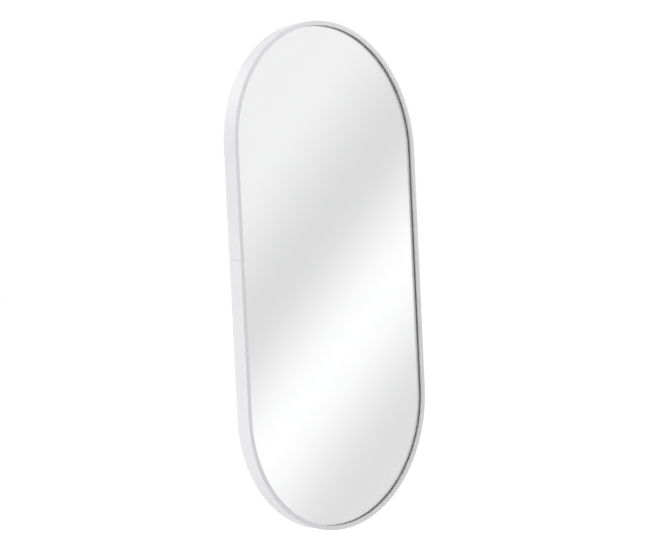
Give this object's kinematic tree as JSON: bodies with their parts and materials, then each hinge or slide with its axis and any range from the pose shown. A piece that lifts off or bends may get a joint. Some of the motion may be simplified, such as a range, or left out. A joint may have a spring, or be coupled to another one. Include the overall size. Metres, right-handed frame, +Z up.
{
  "type": "wall mirror",
  "caption": "Capsule-shaped wall mirror in a thin, deep white metal frame, with swinging D-ring hangers behind it for hanging it upright or sideways.",
  "frame": {"origin": "the point of the wall plane behind the middle of the mirror", "axes": "+Z up along the mirror's height, the front faces -Y, +Y into the wall, -X is the left side as seen from the front"},
  "size_m": [0.508, 0.034, 1.0158],
  "materials": {
    "white_powder_coat": "satin powder coat on aluminium",
    "pane_glass": "clear float glass, polished",
    "silvering": "silver behind glass, grey safety film behind it",
    "glazing_foam": "closed-cell foam strip",
    "cushion_foam": "foam sheet",
    "painted_board": "fibreboard with a matt black painted back",
    "black_rubber": "moulded rubber",
    "splice_steel": "plain steel",
    "black_oxide_screw": "black oxide",
    "zinc_clip": "zinc plated, stamped",
    "zinc_screw": "zinc plated",
    "zinc_strap": "zinc plated, stamped and folded",
    "zinc_wire": "zinc plated round wire"
  },
  "bodies": {
    "framed_mirror": {"frame_profile": "white_powder_coat", "groove_splice_bar": "splice_steel", "lip_splice_key": "splice_steel", "splice_grub_screws": "black_oxide_screw", "glazing_strip": "glazing_foam", "mirror_pane": "pane_glass", "silvered_backing": "silvering", "cushion_sheet": "cushion_foam", "backing_board": "painted_board", "pane_spacers": "black_rubber", "retaining_clips": "zinc_clip", "clip_screws": "zinc_screw", "hanger_screws": "zinc_screw", "wall_bumpers": "black_rubber", "bumper_washers": "zinc_screw", "bumper_screws": "zinc_screw", "upright_strap_left": "zinc_strap", "upright_strap_right": "zinc_strap", "sideways_strap_upper": "zinc_strap", "sideways_strap_lower": "zinc_strap"},
    "upright_ring_left": {"upright_ring_left": "zinc_wire"},
    "upright_ring_right": {"upright_ring_right": "zinc_wire"},
    "sideways_ring_upper": {"sideways_ring_upper": "zinc_wire"},
    "sideways_ring_lower": {"sideways_ring_lower": "zinc_wire"}
  },
  "joints": [
    {"name": "upright_ring_left_swing", "type": "hinge", "parent": "framed_mirror", "child": "upright_ring_left", "pos_m": [-0.12, -0.01082, 0.345], "axis": [1, 0, 0], "range_deg": [0, 175]},
    {"name": "upright_ring_right_swing", "type": "hinge", "parent": "framed_mirror", "child": "upright_ring_right", "pos_m": [0.12, -0.01082, 0.345], "axis": [1, 0, 0], "range_deg": [0, 175]},
    {"name": "sideways_ring_upper_swing", "type": "hinge", "parent": "framed_mirror", "child": "sideways_ring_upper", "pos_m": [0.195, -0.01082, 0.22], "axis": [0, 0, -1], "range_deg": [0, 175]},
    {"name": "sideways_ring_lower_swing", "type": "hinge", "parent": "framed_mirror", "child": "sideways_ring_lower", "pos_m": [0.195, -0.01082, -0.22], "axis": [0, 0, -1], "range_deg": [0, 175]}
  ]
}
